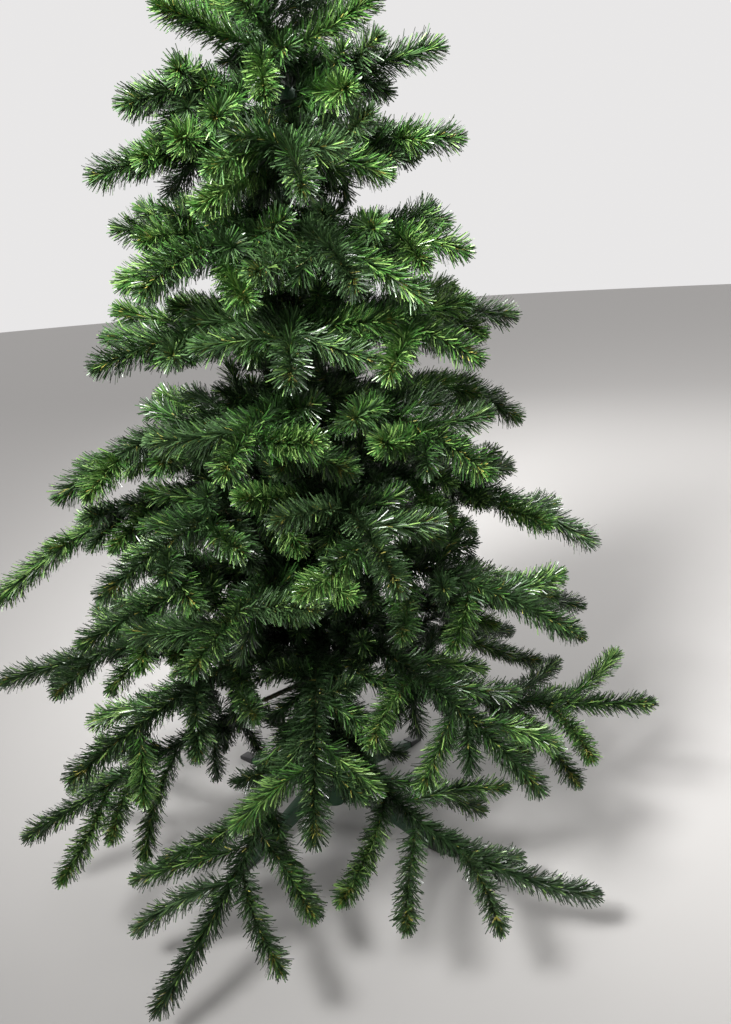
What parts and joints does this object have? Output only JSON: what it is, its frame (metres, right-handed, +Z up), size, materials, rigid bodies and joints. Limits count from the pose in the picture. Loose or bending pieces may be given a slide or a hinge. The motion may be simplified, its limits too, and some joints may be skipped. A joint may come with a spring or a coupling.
{
  "type": "artificial christmas tree",
  "caption": "Artificial Christmas tree, undecorated: steel pole with tiers of bottle-brush branches clothed in green plastic needles, on a plain folding stand.",
  "frame": {"origin": "centre of the flat underside of the stand's hub, at floor level, on the pole's axis", "axes": "+Z up along the pole, -Y towards the viewer of the picture, +X to the viewer's right"},
  "size_m": [1.0929, 1.0713, 1.8],
  "materials": {
    "needles": "glossy cut PVC film needles, several greens",
    "bough_wire": "twisted steel wire wrapped in green tape",
    "pole_paint": "dark green powder coat, satin",
    "stand_paint": "dark green powder coat, satin",
    "screw_plastic": "black moulded knob"
  },
  "bodies": {
    "root": {"stand_hub": "stand_paint", "stand_leg_1": "stand_paint", "stand_leg_2": "stand_paint", "stand_leg_3": "stand_paint", "stand_leg_4": "stand_paint", "stand_clamp_screw": "screw_plastic", "pole_lower": "pole_paint", "pole_upper": "pole_paint", "bough_1": "bough_wire", "bough_2": "bough_wire", "bough_3": "bough_wire", "bough_4": "bough_wire", "bough_5": "bough_wire", "bough_6": "bough_wire", "foliage_tier1_1": "needles", "foliage_tier1_2": "needles", "foliage_tier1_3": "needles", "foliage_tier1_4": "needles", "foliage_tier1_5": "needles", "foliage_tier1_6": "needles", "foliage_tier2_1": "needles", "foliage_tier2_2": "needles", "foliage_tier2_3": "needles", "foliage_tier2_4": "needles", "foliage_tier2_5": "needles", "foliage_tier2_6": "needles", "foliage_tier3_1": "needles", "foliage_tier3_2": "needles", "foliage_tier3_3": "needles", "foliage_tier3_4": "needles", "foliage_tier3_5": "needles", "foliage_tier4_1": "needles", "foliage_tier4_2": "needles", "foliage_tier4_3": "needles", "foliage_tier4_4": "needles", "foliage_tier4_5": "needles", "foliage_tier4_6": "needles", "foliage_tier5_1": "needles", "foliage_tier5_2": "needles", "foliage_tier5_3": "needles", "foliage_tier5_4": "needles", "foliage_tier5_5": "needles", "foliage_tier6_1": "needles", "foliage_tier6_2": "needles", "foliage_tier6_3": "needles", "foliage_tier6_4": "needles", "foliage_tier6_5": "needles", "foliage_tier7_1": "needles", "foliage_tier7_2": "needles", "foliage_tier7_3": "needles", "foliage_tier7_4": "needles", "foliage_tier7_5": "needles", "foliage_tier8_1": "needles", "foliage_tier8_2": "needles", "foliage_tier8_3": "needles", "foliage_tier8_4": "needles", "foliage_tier9_1": "needles", "foliage_tier9_2": "needles", "foliage_tier9_3": "needles", "foliage_top": "needles"}
  },
  "joints": []
}
